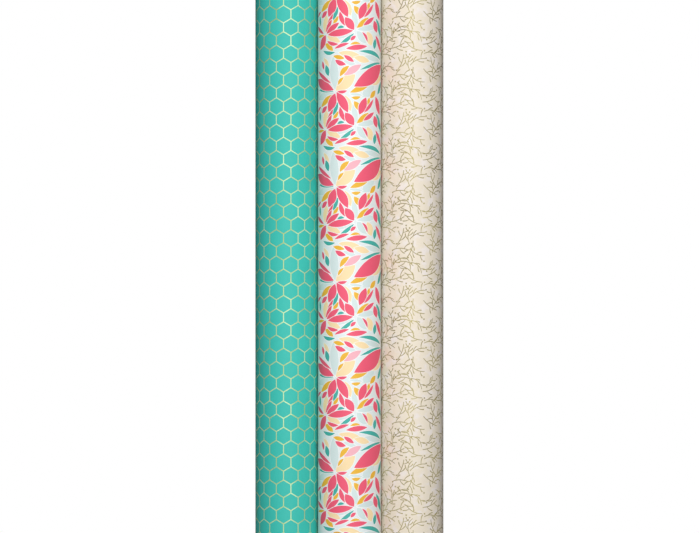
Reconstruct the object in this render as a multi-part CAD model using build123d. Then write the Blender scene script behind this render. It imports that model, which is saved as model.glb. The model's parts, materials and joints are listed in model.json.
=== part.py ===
from build123d import *

import os
from math import ceil, cos, degrees, pi, radians, sin, sqrt

# Three rolls of gift wrapping paper that stand on end, side by side.
#
# Each roll is a paperboard core tube with one long printed sheet wound round it. The sheet's
# first edge is held to the core by lines of pick-up glue, and its last edge, the free edge, by
# three tabs of clear tape. The last stretch of the sheet is the tail: it lies loose on the roll
# and opens along upright creases, so it is made as a row of narrow panels.
#
# Millimetres. +Z is up, along the rolls. +Y points to the back, where the free edges are. The
# origin is on the floor, under the centre of the set. The middle roll stands a little forward
# of the other two. Angles are in degrees, from +X towards +Y, and the sheets are wound in that
# direction.

# The printed sheet
SHEET_WIDTH = 762.0  # 30 inches, which is each roll's height as it stands
SHEET_LENGTH = 5000.0  # wound on each roll
SHEET_THICKNESS = 0.1
TURN_PITCH = 0.12  # one turn of sheet with the air under it

# The core tube
CORE_BORE = 35.0
CORE_WALL = 1.5
CORE_RECESS = 1.0  # how far the tube's ends lie inside the sheet's edges

# The lines of glue that start the winding
GLUE_LINES = 3
GLUE_THICKNESS = 0.1
GLUE_WIDTH = 2.0  # of each line, measured round the core
GLUE_SPACING = 4.0  # between the middles of neighbouring lines, measured round the core
GLUE_INSET = 25.0  # from the sheet's edges
GLUE_ANGLE = 250.0  # of the first line

# The last turn, which is wound without tension and stands a little off the roll
LAP_GAP = 0.3  # air under the sheet at its free edge
TAIL_START = 25.0
TAIL_PANELS = 5
PANEL_ANGLE = 22.0
HINGE_GAP = 0.2  # between neighbouring panels
TAIL_INSET = 0.3  # how far the tail's upright ends lie inside the roll's

# The tape tabs across the free edge
TAPE_WIDTH = 19.0  # measured along the roll
TAPE_HOLD = 7.0  # stuck to the tail
TAPE_REACH = 6.0  # past the free edge, stuck to the roll
TAPE_THICKNESS = 0.05
TAPE_LIFT = 0.02  # adhesive under the film
TAPE_END_LIFT = 0.12  # from the roll up to the film's far end
TAPE_END_DISTANCE = 60.0  # from a sheet edge to the middle of the nearest tab

# The set
ROLL_GAP = 0.3  # between neighbouring rolls, where they come closest
MIDDLE_FORWARD = 9.0  # how far the middle roll stands in front of the other two
ROLL_NAMES = ("hexagon", "leaf", "sprig")  # the prints, from left to right

# Thin curved plates are drawn in arcs no longer than this, so that each stays true to its curve
LONGEST_ARC = 4.0

core_radius = CORE_BORE / 2 + CORE_WALL
web_bore_radius = core_radius + GLUE_THICKNESS
wound_radius = sqrt(web_bore_radius**2 + SHEET_LENGTH * TURN_PITCH / pi)
lap_rise = LAP_GAP + SHEET_THICKNESS
edge_radius = wound_radius + lap_rise
tail_end = TAIL_START + TAIL_PANELS * PANEL_ANGLE
half_gap_angle = degrees(HINGE_GAP / 2 / wound_radius)
roll_spacing = sqrt((2 * edge_radius + ROLL_GAP) ** 2 - MIDDLE_FORWARD**2)


def lap_radius(angle):
    """Outside of the last turn, which rises from the roll to the free edge in one turn."""
    turned = (angle - tail_end) % 360 if angle != tail_end else 360
    return wound_radius + lap_rise * turned / 360


def at(radius, angle):
    """Point on the floor plane at this radius and angle from a roll's centre."""
    return (radius * cos(radians(angle)), radius * sin(radians(angle)))


def arc_between(start, end, radius_of):
    """Arc from one angle to another that follows a slowly changing radius."""
    middle = (start + end) / 2
    return ThreePointArc(*(at(radius_of(angle), angle) for angle in (start, middle, end)))


def short_arcs_between(start, end, radius_of):
    """Row of short arcs from one angle to another that follows a slowly changing radius."""
    count = ceil(abs(end - start) / LONGEST_ARC)
    step = (end - start) / count
    arcs = [arc_between(start + i * step, start + (i + 1) * step, radius_of) for i in range(count)]
    return Curve() + arcs


def curved_plate(start, end, inner_radius_of, thickness, height):
    """Upright plate that follows the roll's curve between two angles, standing on the floor."""

    def outer_radius_of(angle):
        return inner_radius_of(angle) + thickness

    outer = short_arcs_between(start, end, outer_radius_of)
    inner = short_arcs_between(end, start, inner_radius_of)
    corners = [at(radius_of(angle), angle) for radius_of in (inner_radius_of, outer_radius_of)
               for angle in (start, end)]
    sides = Line(corners[0], corners[2]) + Line(corners[1], corners[3])
    return extrude(make_face(outer + inner + sides), height)


def core_tube():
    """Paperboard tube, a little shorter than the sheet is wide."""
    section = Circle(core_radius) - Circle(CORE_BORE / 2)
    return Pos(Z=CORE_RECESS) * extrude(section, SHEET_WIDTH - 2 * CORE_RECESS)


def core_glue():
    """Dried lines of pick-up glue between the core and the sheet's first edge."""
    half = degrees(GLUE_WIDTH / 2 / core_radius)
    spacing = degrees(GLUE_SPACING / core_radius)
    height = SHEET_WIDTH - 2 * GLUE_INSET
    line = curved_plate(-half, half, lambda angle: core_radius, GLUE_THICKNESS, height)
    turns = [Rot(Z=GLUE_ANGLE + number * spacing) for number in range(GLUE_LINES)]
    return Compound([Pos(Z=GLUE_INSET) * turn * line for turn in turns])


def wound_web():
    """All turns of the sheet but the tail, with the step that the last turn leaves."""
    lap_end = TAIL_START + 360 - half_gap_angle
    lap = ThreePointArc(
        at(wound_radius, tail_end),
        *(at(lap_radius(angle), angle) for angle in ((tail_end + lap_end) / 2, lap_end)),
    )
    under_tail = arc_between(lap_end - 360, tail_end, lambda angle: wound_radius)
    outline = make_face(lap + Line(lap @ 1, under_tail @ 0) + under_tail)
    return extrude(outline - Circle(web_bore_radius), SHEET_WIDTH)


def tail_panel(number):
    """One panel of the tail, counted from the crease that stays on the roll."""
    start = TAIL_START + (number - 1) * PANEL_ANGLE
    panel = curved_plate(
        start + half_gap_angle,
        start + PANEL_ANGLE - half_gap_angle,
        lambda angle: lap_radius(min(angle, tail_end)) - SHEET_THICKNESS,
        SHEET_THICKNESS,
        SHEET_WIDTH - 2 * TAIL_INSET,
    )
    return Pos(Z=TAIL_INSET) * panel


def tape_strip(start, end, inner_radius_of):
    """The same strip of tape film on each of the three tabs."""
    strip = curved_plate(start, end, inner_radius_of, TAPE_THICKNESS, TAPE_WIDTH)
    middles = (TAPE_END_DISTANCE, SHEET_WIDTH / 2, SHEET_WIDTH - TAPE_END_DISTANCE)
    return Compound([Pos(Z=middle - TAPE_WIDTH / 2) * strip for middle in middles])


def tape_anchors():
    """Halves of the tape tabs that are stuck to the tail."""
    hold_angle = degrees(TAPE_HOLD / edge_radius)
    return tape_strip(
        tail_end - hold_angle, tail_end - half_gap_angle, lambda angle: edge_radius + TAPE_LIFT
    )


def tape_flaps():
    """Halves of the tape tabs past the free edge, which come down onto the roll."""
    reach_angle = degrees(TAPE_REACH / edge_radius)

    def radius_of(angle):
        drop = lap_rise + TAPE_LIFT - TAPE_END_LIFT
        return edge_radius + TAPE_LIFT - drop * (angle - tail_end) / reach_angle

    return tape_strip(tail_end + half_gap_angle, tail_end + reach_angle, radius_of)


def roll_parts():
    """Every sub-part of one roll, round the Z axis, by name."""
    parts = {"core_tube": core_tube(), "core_glue": core_glue(), "wound_web": wound_web()}
    for number in range(1, TAIL_PANELS + 1):
        parts[f"tail_panel_{number}"] = tail_panel(number)
    parts["tape_anchors"] = tape_anchors()
    parts["tape_flaps"] = tape_flaps()
    return parts


def roll_places():
    """Centre of each roll on the floor, from left to right."""
    back = MIDDLE_FORWARD / 2
    return (-roll_spacing, back), (0, -back), (roll_spacing, back)


os.makedirs("parts", exist_ok=True)
for roll_name, (x, y) in zip(ROLL_NAMES, roll_places()):
    for part_name, part in roll_parts().items():
        export_step(Pos(x, y) * part, f"parts/{roll_name}_{part_name}.step")
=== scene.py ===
"""Three rolls of gift wrapping paper that stand side by side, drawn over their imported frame."""

import json
import logging
from dataclasses import dataclass
from enum import Enum
from math import asin, atan2, cos, dist, pi, radians, sin, sqrt
from random import Random
from typing import Any, Callable, Iterable, Sequence

import bmesh
import bpy
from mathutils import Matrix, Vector


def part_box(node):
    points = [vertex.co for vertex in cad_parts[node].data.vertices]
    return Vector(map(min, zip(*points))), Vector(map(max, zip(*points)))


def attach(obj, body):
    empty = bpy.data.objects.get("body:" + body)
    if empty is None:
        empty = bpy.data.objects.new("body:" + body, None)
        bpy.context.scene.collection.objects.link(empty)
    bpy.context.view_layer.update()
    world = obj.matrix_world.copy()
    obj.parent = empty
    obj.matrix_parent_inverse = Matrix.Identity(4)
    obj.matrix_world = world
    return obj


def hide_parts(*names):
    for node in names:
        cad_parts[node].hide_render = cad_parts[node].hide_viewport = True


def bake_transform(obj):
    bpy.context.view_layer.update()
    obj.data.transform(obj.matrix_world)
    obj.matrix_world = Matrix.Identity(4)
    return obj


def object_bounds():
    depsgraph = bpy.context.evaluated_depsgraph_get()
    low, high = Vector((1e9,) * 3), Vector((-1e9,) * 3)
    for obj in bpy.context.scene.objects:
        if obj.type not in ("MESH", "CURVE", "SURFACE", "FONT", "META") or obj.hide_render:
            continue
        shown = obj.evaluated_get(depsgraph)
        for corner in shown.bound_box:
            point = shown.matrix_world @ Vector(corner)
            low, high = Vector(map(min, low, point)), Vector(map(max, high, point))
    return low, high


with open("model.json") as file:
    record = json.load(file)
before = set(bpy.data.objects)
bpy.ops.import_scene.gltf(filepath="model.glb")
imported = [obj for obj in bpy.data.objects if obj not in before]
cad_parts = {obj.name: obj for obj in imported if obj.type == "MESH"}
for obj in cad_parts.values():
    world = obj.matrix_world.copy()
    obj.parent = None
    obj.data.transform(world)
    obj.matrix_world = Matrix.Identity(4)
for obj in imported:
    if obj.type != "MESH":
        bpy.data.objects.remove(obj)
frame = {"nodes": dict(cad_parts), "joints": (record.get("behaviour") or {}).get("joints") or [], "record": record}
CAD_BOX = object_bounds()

LOG = logging.getLogger("gift_wrap")
MM = 0.001
TURN = 2 * pi
UV_NAME = "PrintMM"  # the paper's own map: millimetres round the sheet and up it
BAKE_NAME = "OFBake"  # the map that lays the whole wound sheet out on one square, for a bake

Colour = tuple[float, float, float, float]
Socket = Any
Inputs = Sequence[Any] | dict[Any, Any]
Label = tuple[str, str]  # a socket's name and its kind: Float, Vector or Color
Point = tuple[float, float]


def linear(hex_colour: str) -> Colour:
    """Turns an sRGB hex colour into the linear colour that a shader takes.

    Args:
        hex_colour: Six hex digits, with or without a leading #.

    Returns:
        Linear red, green and blue, and an alpha of one.
    """
    digits = hex_colour.lstrip("#")
    channels = [int(digits[i:i + 2], 16) / 255 for i in (0, 2, 4)]
    red, green, blue = (c / 12.92 if c <= 0.04045 else ((c + 0.055) / 1.055) ** 2.4 for c in channels)
    return (red, green, blue, 1.0)


# ---------------------------------------------------------------- node trees


@dataclass(frozen=True)
class Graph:
    """A node tree that takes new nodes.

    Attributes:
        tree: The tree.
    """

    tree: bpy.types.NodeTree

    def add(self, kind: str, inputs: Inputs = (), output: int | str = 0, **settings: Any) -> Socket:
        """Adds one node with its settings and links.

        Args:
            kind: The node's type, without the leading "ShaderNode".
            inputs: Values, or output sockets to link, in the order of the node's inputs or by name or index.
            output: Name or index of the output that is wanted.
            **settings: Attributes of the node.

        Returns:
            The output's socket.
        """
        node = self.tree.nodes.new(f"ShaderNode{kind}")
        for name, value in settings.items():
            setattr(node, name, value)
        self.join(node, inputs)
        return node.outputs[output]

    def join(self, node: bpy.types.Node, inputs: Inputs) -> None:
        """Sets or links a node's inputs.

        Args:
            node: The node.
            inputs: Values, or output sockets to link, in the order of the node's inputs or by name or index.
        """
        for key, value in inputs.items() if isinstance(inputs, dict) else enumerate(inputs):
            if isinstance(value, bpy.types.NodeSocket):
                self.tree.links.new(value, node.inputs[key])
            else:
                node.inputs[key].default_value = value


def new_group(name: str, inputs: Sequence[Label], result: Label) -> tuple[Graph, Any, bpy.types.Node]:
    """Makes an empty node group with its sockets.

    Args:
        name: The group's name.
        inputs: The label of each input.
        result: The label of its output.

    Returns:
        The group's nodes, the sockets that it is given and its output node.
    """
    tree = bpy.data.node_groups.new(name, "ShaderNodeTree")
    for label, kind in inputs:
        tree.interface.new_socket(label, in_out="INPUT", socket_type=f"NodeSocket{kind}")
    tree.interface.new_socket(result[0], in_out="OUTPUT", socket_type=f"NodeSocket{result[1]}")
    return Graph(tree), tree.nodes.new("NodeGroupInput").outputs, tree.nodes.new("NodeGroupOutput")


def new_material(name: str) -> tuple[bpy.types.Material, Graph, bpy.types.Node]:
    """Makes a material that holds one Principled shader.

    Args:
        name: The material's name.

    Returns:
        The material, its nodes and its Principled node.
    """
    material = bpy.data.materials.new(name)
    material.use_nodes = True
    return material, Graph(material.node_tree), material.node_tree.nodes["Principled BSDF"]


# ---------------------------------------------------------------- the drawn prints


@dataclass(frozen=True)
class PrintLayers:
    """What a print lays on the sheet.

    Attributes:
        colour: Socket of the ink's colour.
        foil: Socket that is one where foil is stamped, or None where the print has no foil.
    """

    colour: Socket
    foil: Socket | None


LINE_INPUTS = (("Place", "Vector"), ("Low", "Vector"), ("High", "Vector"), ("Middle", "Vector"),
               ("Along", "Vector"), ("Across", "Vector"), ("Bend", "Float"), ("Width", "Float"))


def beside_line(graph: Graph, given: Any) -> tuple[Socket, Socket, Socket, Socket]:
    """Measures where a place of the sheet lies beside one bent line of the repeating tile.

    Args:
        graph: The nodes of a group that has the LINE_INPUTS.
        given: The sockets that the group is given.

    Returns:
        How far along the line the place lies, from -1 at its base to 1 at its tip, that number's square,
        the line's fullness there, from 1 at its middle to 0 at its ends, and the distance beside it.
    """
    near = graph.add("VectorMath", (given["Place"], given["High"], given["Low"]), operation="WRAP")
    local = graph.add("VectorMath", (near, given["Middle"]), operation="SUBTRACT")
    along = graph.add("VectorMath", (local, given["Along"]), "Value", operation="DOT_PRODUCT")
    across = graph.add("VectorMath", (local, given["Across"]), "Value", operation="DOT_PRODUCT")
    squared = graph.add("Math", (along, along), operation="MULTIPLY")
    fullness = graph.add("Math", (squared, -1.0, 1.0), operation="MULTIPLY_ADD")
    back = graph.add("Math", (given["Bend"], -1.0), operation="MULTIPLY")
    bent = graph.add("Math", (fullness, back, across), operation="MULTIPLY_ADD")
    return along, squared, fullness, graph.add("Math", (bent,), operation="ABSOLUTE")


def leaf_group() -> bpy.types.NodeTree:
    """Makes the group that lays one pointed leaf, with a bare line round it, over a colour.

    Returns:
        The group's tree.
    """
    inputs = (*LINE_INPUTS, ("Under", "Color"), ("Gap", "Float"), ("Ground", "Color"), ("Ink", "Color"))
    graph, given, made = new_group("leaf_on_sheet", inputs, ("Colour", "Color"))
    _, _, fullness, beside = beside_line(graph, given)
    narrower = graph.add("Math", (given["Width"], -1.0), operation="MULTIPLY")
    edge = graph.add("Math", (fullness, narrower, beside), operation="MULTIPLY_ADD")
    colour = given["Under"]
    for margin, laid in ((given["Gap"], given["Ground"]), (0.0, given["Ink"])):
        covered = graph.add("Math", (edge, margin), operation="LESS_THAN")
        colour = graph.add("Mix", {0: covered, 6: colour, 7: laid}, 2, data_type="RGBA")
    graph.join(made, (colour,))
    return graph.tree


def stroke_group() -> bpy.types.NodeTree:
    """Makes the group that adds one bent stroke, wider at its far end, to a mask.

    Returns:
        The group's tree.
    """
    inputs = (*LINE_INPUTS, ("Mask", "Float"), ("Flare", "Float"))
    graph, given, made = new_group("stroke_on_sheet", inputs, ("Mask", "Float"))
    along, squared, _, beside = beside_line(graph, given)
    width = graph.add("Math", (along, given["Flare"], given["Width"]), operation="MULTIPLY_ADD")
    covered = graph.add("Math", (beside, width), operation="LESS_THAN")
    level = graph.add("Math", (squared, 1.0), operation="LESS_THAN")
    within = graph.add("Math", (covered, level), operation="MULTIPLY")
    graph.join(made, (graph.add("Math", (within, given["Mask"]), operation="MAXIMUM"),))
    return graph.tree


def lines_of(base: Point, tip: Point, tile: Point) -> dict[str, Vector]:
    """Works out the vectors that place a leaf or stroke on a repeating tile.

    Args:
        base: Where it starts, in millimetres on the sheet.
        tip: Where it ends.
        tile: The tile's width and height.

    Returns:
        The group inputs Low, High, Middle, Along and Across.
    """
    start, end = Vector((*base, 0)), Vector((*tip, 0))
    middle, half = (start + end) / 2, (end - start) / 2
    reach = Vector((tile[0] / 2, tile[1] / 2, 1.0))
    unit = half.normalized()
    return {
        "Low": middle - reach,
        "High": middle + reach,
        "Middle": middle,
        "Along": half / half.length_squared,
        "Across": Vector((-unit.y, unit.x, 0)),
    }


@dataclass(frozen=True)
class HoneycombPrint:
    """A foil honeycomb on one ink, its cells a little taller than regular ones.

    Attributes:
        ink: The sheet's colour.
        pitch_mm: Distance between neighbouring cells in a row.
        row_mm: Distance between rows.
        line_mm: Width of the foil line.
        centre_mm: The middle of one cell, round the sheet and up it.
    """

    ink: str
    pitch_mm: float
    row_mm: float
    line_mm: float
    centre_mm: Point

    def layers(self, graph: Graph, place: Socket) -> PrintLayers:
        """Draws the print.

        Args:
            graph: The material's nodes.
            place: Socket of the place on the sheet, in millimetres.

        Returns:
            The print's layers.
        """
        half_width, half_height = self.pitch_mm / 2, self.pitch_mm * sqrt(3) / 2
        tallness = self.row_mm / half_height
        centred = graph.add("VectorMath", (place, (*self.centre_mm, 0.0)), operation="SUBTRACT")
        regular = graph.add("VectorMath", (centred, (1.0, 1.0 / tallness, 0.0)), operation="MULTIPLY")
        high, low = (half_width, half_height, 1.0), (-half_width, -half_height, -1.0)
        slope = (0.5, sqrt(3) / 2, 0.0)  # square to the cell's slanted sides
        reaches = []
        for shift in ((0.0, 0.0, 0.0), (half_width, half_height, 0.0)):
            moved = graph.add("VectorMath", (regular, shift), operation="ADD")
            cell = graph.add("VectorMath", (moved, high, low), operation="WRAP")
            folded = graph.add("VectorMath", (cell,), operation="ABSOLUTE")
            slanted = graph.add("VectorMath", (folded, slope), "Value", operation="DOT_PRODUCT")
            upright = graph.add("SeparateXYZ", (folded,))
            reaches.append(graph.add("Math", (slanted, upright), operation="MAXIMUM"))
        reach = graph.add("Math", reaches, operation="MINIMUM")
        foil = graph.add("Math", (reach, half_width - self.line_mm / 2), operation="GREATER_THAN")
        ground = graph.add("RGB")
        ground.default_value = linear(self.ink)
        return PrintLayers(ground, foil)


class LeafInk(Enum):
    """The inks of the leaf print, in the order in which they are laid."""

    MINT = "#D9EAE9"
    CREAM = "#FDE3B2"
    PINK = "#F8B9C4"
    OCHRE = "#F1BC42"
    TEAL = "#49B3A9"
    CORAL = "#F2607B"


@dataclass(frozen=True)
class Leaf:
    """One leaf of the print, in millimetres as it reads from straight in front of the roll.

    Attributes:
        base: Where it starts, to the side of the roll's middle line and above the tile's zero.
        tip: Where it ends.
        width: Half its width at its middle.
        ink: Its colour.
        bend: How far its middle stands to the left of the line from base to tip.
    """

    base: Point
    tip: Point
    width: float
    ink: LeafInk
    bend: float = 0.0


MINT, CREAM, PINK = LeafInk.MINT, LeafInk.CREAM, LeafInk.PINK
OCHRE, TEAL, CORAL = LeafInk.OCHRE, LeafInk.TEAL, LeafInk.CORAL

LEAVES = (
    # the pale leaves, which the others lie over
    Leaf((-10.5, 1.5), (-12, 27), 2.7, MINT),
    Leaf((-11, -0.5), (-23, -5), 2.2, MINT),
    Leaf((9.5, -3.5), (18.5, 5), 3.0, MINT),
    Leaf((6, -25), (19.5, -23), 1.9, MINT, 0.8),
    Leaf((5.5, -26), (14, -35), 2.7, MINT),
    Leaf((2, -8.5), (5.5, -24.5), 1.7, MINT, 0.4),
    Leaf((-15, -30), (3, -27), 1.8, MINT, -0.8),
    Leaf((10.5, 27), (22.5, 23.5), 1.7, MINT),
    Leaf((-4.5, 23.5), (6, 19.5), 1.3, MINT),
    Leaf((-10, 1), (4.5, 13), 3.9, CREAM),
    Leaf((-8, 29.5), (9, 26.5), 2.1, CREAM),
    Leaf((3.5, 26), (15, 23), 2.0, CREAM),
    Leaf((-3.5, -2.5), (1, -14.5), 1.9, CREAM, 0.6),
    Leaf((-17, -13.5), (-18, -27), 2.0, CREAM),
    Leaf((-16.5, -29.5), (-6.5, -34), 2.1, CREAM),
    Leaf((13.5, -26), (16.5, -36.5), 2.3, CREAM),
    Leaf((15, 6), (23.4, 12.5), 2.3, CREAM),
    Leaf((-4, 12.5), (9, 20.5), 2.2, PINK),
    Leaf((0, -1.5), (10, -2.5), 0.8, MINT),
    Leaf((-19, 26), (-15, 19), 1.0, CREAM),
    # small leaves and slivers
    Leaf((-22, -13.5), (-21.5, -21.5), 0.8, TEAL),
    Leaf((-23, -29.5), (-18.5, -28.5), 0.8, OCHRE),
    Leaf((-12.5, -2), (-21, -11), 1.5, OCHRE),
    Leaf((-8, -14.5), (-12, -20.5), 1.1, OCHRE),
    Leaf((8.5, -35.5), (0.5, -36), 0.8, OCHRE, -0.9),
    Leaf((5.5, -23.5), (14.5, -15.5), 1.6, OCHRE),
    Leaf((13.5, -11), (15, -4), 0.9, OCHRE),
    Leaf((-18, -35), (-12, -40.5), 1.6, OCHRE, 0.5),
    Leaf((3.5, -7), (7.5, -14), 1.7, OCHRE, 0.5),
    Leaf((1.5, -4), (8.5, -3.5), 1.0, OCHRE, -0.8),
    Leaf((-8.5, 5), (-4, 11), 0.9, OCHRE, 0.6),
    Leaf((-7, 11.5), (0, 19.5), 1.5, OCHRE, 0.8),
    Leaf((0.5, -0.5), (15, 6), 1.8, OCHRE),
    Leaf((-12, 27), (-3.5, 25), 1.3, OCHRE),
    Leaf((15.5, -4.5), (19.5, 1.5), 1.3, OCHRE),
    Leaf((-8.5, -7.5), (-12, -17.5), 1.3, TEAL),
    Leaf((-9, -24), (-3.5, -23), 0.8, TEAL, 0.8),
    Leaf((3.5, -27.5), (-7.5, -36), 1.1, TEAL, 0.6),
    Leaf((20, -16), (23.3, -30), 1.5, TEAL),
    Leaf((19.5, -31), (18.5, -39), 1.2, TEAL),
    Leaf((-19.5, -40), (-10.5, -41.5), 1.1, TEAL, -1.4),
    Leaf((-11.5, 0.5), (-22.5, 2), 1.0, TEAL),
    Leaf((-17.5, 20.5), (-15.5, 12), 1.3, TEAL),
    Leaf((8, 16.5), (23, 22.5), 1.0, TEAL, 1.0),
    Leaf((7, 30.5), (23, 24.5), 1.2, TEAL, 2.0),
    Leaf((21, -1.5), (23.4, 8.5), 1.3, TEAL),
    # the coral leaves, which carry the print
    Leaf((-10.5, -1), (-15.5, -15), 2.5, CORAL, 0.3),
    Leaf((-9.5, 0), (-1, -15.5), 2.7, CORAL, 0.5),
    Leaf((-16.5, -10.5), (-20.5, -15.5), 1.2, CORAL),
    Leaf((-12, -12.5), (-17, -24.5), 0.9, CORAL),
    Leaf((-13, -17), (-17.5, -26.5), 1.0, CORAL),
    Leaf((-7.5, -19.5), (-17, -27.5), 1.6, CORAL),
    Leaf((-7, -11), (-3, -22), 1.4, CORAL, -0.7),
    Leaf((-3, -15.5), (3.5, -25), 2.6, CORAL),
    Leaf((-16, -28.5), (3, -25.5), 2.2, CORAL),
    Leaf((5, -29.5), (1, -33), 1.0, CORAL, -0.3),
    Leaf((-16.5, -33), (-8, -35.5), 1.1, CORAL, -1.0),
    Leaf((0, -35), (-11, -39), 1.0, CORAL, -0.5),
    Leaf((-2.5, -39), (13.5, -37), 1.6, CORAL),
    Leaf((9.5, -26.5), (13.5, -34), 0.7, CORAL, 1.0),
    Leaf((7.5, -17), (12.5, -4), 2.4, CORAL),
    Leaf((11, -15.5), (18, -5), 0.9, CORAL, -0.5),
    Leaf((10.5, -21.5), (18.5, -15), 1.2, CORAL),
    Leaf((19.5, -3), (22.5, -17), 1.9, CORAL),
    Leaf((18.5, -17.5), (20.5, -26.5), 1.7, CORAL),
    Leaf((19.5, -28.5), (23.3, -41), 1.3, CORAL),
    Leaf((-17.5, -28.5), (-21.5, -39.5), 2.0, CORAL),
    Leaf((-11.5, 1.5), (-23.4, 10), 2.8, CORAL),
    Leaf((-13.5, 6.5), (-23, 16.5), 1.0, CORAL),
    Leaf((-20, 23.5), (-19, 17), 0.8, CORAL),
    Leaf((3.5, 4), (23.4, 21), 4.6, CORAL),
    Leaf((-4, 27.5), (3.5, 22.5), 1.3, CORAL),
    Leaf((-10.5, 24), (-2.5, 20.5), 1.5, CORAL, -0.7),
    Leaf((-9, 0.5), (-1.5, 1), 0.9, CORAL, -0.8),
    Leaf((-23.4, -14.5), (-21, -10.5), 0.6, CORAL),
    Leaf((-23.4, -21.5), (-19, -27.5), 0.9, CORAL),
)


@dataclass(frozen=True)
class LeafPrint:
    """Leaves that radiate from points, each with a bare line round it.

    Attributes:
        ground: The bare sheet's colour.
        leaves: The leaves of one tile.
        tile_mm: The tile's width round the sheet and its height.
        gap_mm: Width of the bare line round a leaf.
        zero_mm: Height of the tile's zero on the sheet.
        radius_mm: Radius of the roll that the leaves are drawn on.
        fullness: How much wider the printed leaves are than their list says.
        swell_mm: How much wider they are again, on each side.
        most_widening: How much a leaf is widened at most where the roll turns away.
        outline: Colour of the bare line round a leaf.
    """

    ground: str
    leaves: tuple[Leaf, ...]
    tile_mm: Point
    gap_mm: float
    zero_mm: float
    radius_mm: float
    fullness: float = 1.14
    swell_mm: float = 0.15
    most_widening: float = 1.35
    outline: str = "#FCFDFD"

    def on_sheet(self, point: Point) -> Point:
        """Place on the sheet of a point that reads as this far to the side of the roll's middle."""
        return (self.radius_mm * asin(point[0] / self.radius_mm), point[1] + self.zero_mm)

    def half_width(self, leaf: Leaf) -> float:
        """Widens a leaf where the roll turns away, so that it reads as its list says.

        Args:
            leaf: The leaf.

        Returns:
            Half of its printed width.
        """
        middle = (leaf.base[0] + leaf.tip[0]) / 2
        length = dist(leaf.base, leaf.tip)
        sideways = (leaf.tip[1] - leaf.base[1]) / length
        upwards = (leaf.tip[0] - leaf.base[0]) / length
        turned = min(self.most_widening, 1 / sqrt(1 - (middle / self.radius_mm) ** 2))
        return (leaf.width * self.fullness + self.swell_mm) * sqrt((turned * sideways) ** 2 + upwards ** 2)

    def layers(self, graph: Graph, place: Socket) -> PrintLayers:
        """Draws the print.

        Args:
            graph: The material's nodes.
            place: Socket of the place on the sheet, in millimetres.

        Returns:
            The print's layers.
        """
        group = leaf_group()
        colour = graph.add("RGB")
        colour.default_value = linear(self.ground)
        for leaf in self.leaves:
            inputs = lines_of(self.on_sheet(leaf.base), self.on_sheet(leaf.tip), self.tile_mm)
            inputs |= {"Place": place, "Under": colour, "Bend": leaf.bend}
            inputs |= {"Width": self.half_width(leaf), "Gap": self.gap_mm}
            inputs |= {"Ground": linear(self.outline), "Ink": linear(leaf.ink.value)}
            colour = graph.add("Group", inputs, node_tree=group)
        return PrintLayers(colour, None)


def ahead(start: Point, angle: float, distance: float) -> Point:
    """Point at this distance from another one, in the direction of this angle."""
    return (start[0] + distance * cos(angle), start[1] + distance * sin(angle))


@dataclass(frozen=True)
class Stroke:
    """One line of a sprig, in millimetres on the sheet.

    Attributes:
        base: Where it starts.
        tip: Where it ends.
        bend: How far its middle stands to the left of the line from base to tip.
        flare: How much wider it is at its tip than at its middle, on each side.
        weight: How many times as wide as a plain line it is.
    """

    base: Point
    tip: Point
    bend: float = 0.0
    flare: float = 0.0
    weight: float = 1.0

    @property
    def middle(self) -> Point:
        """The middle of the line from base to tip."""
        return ((self.base[0] + self.tip[0]) / 2, (self.base[1] + self.tip[1]) / 2)


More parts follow.
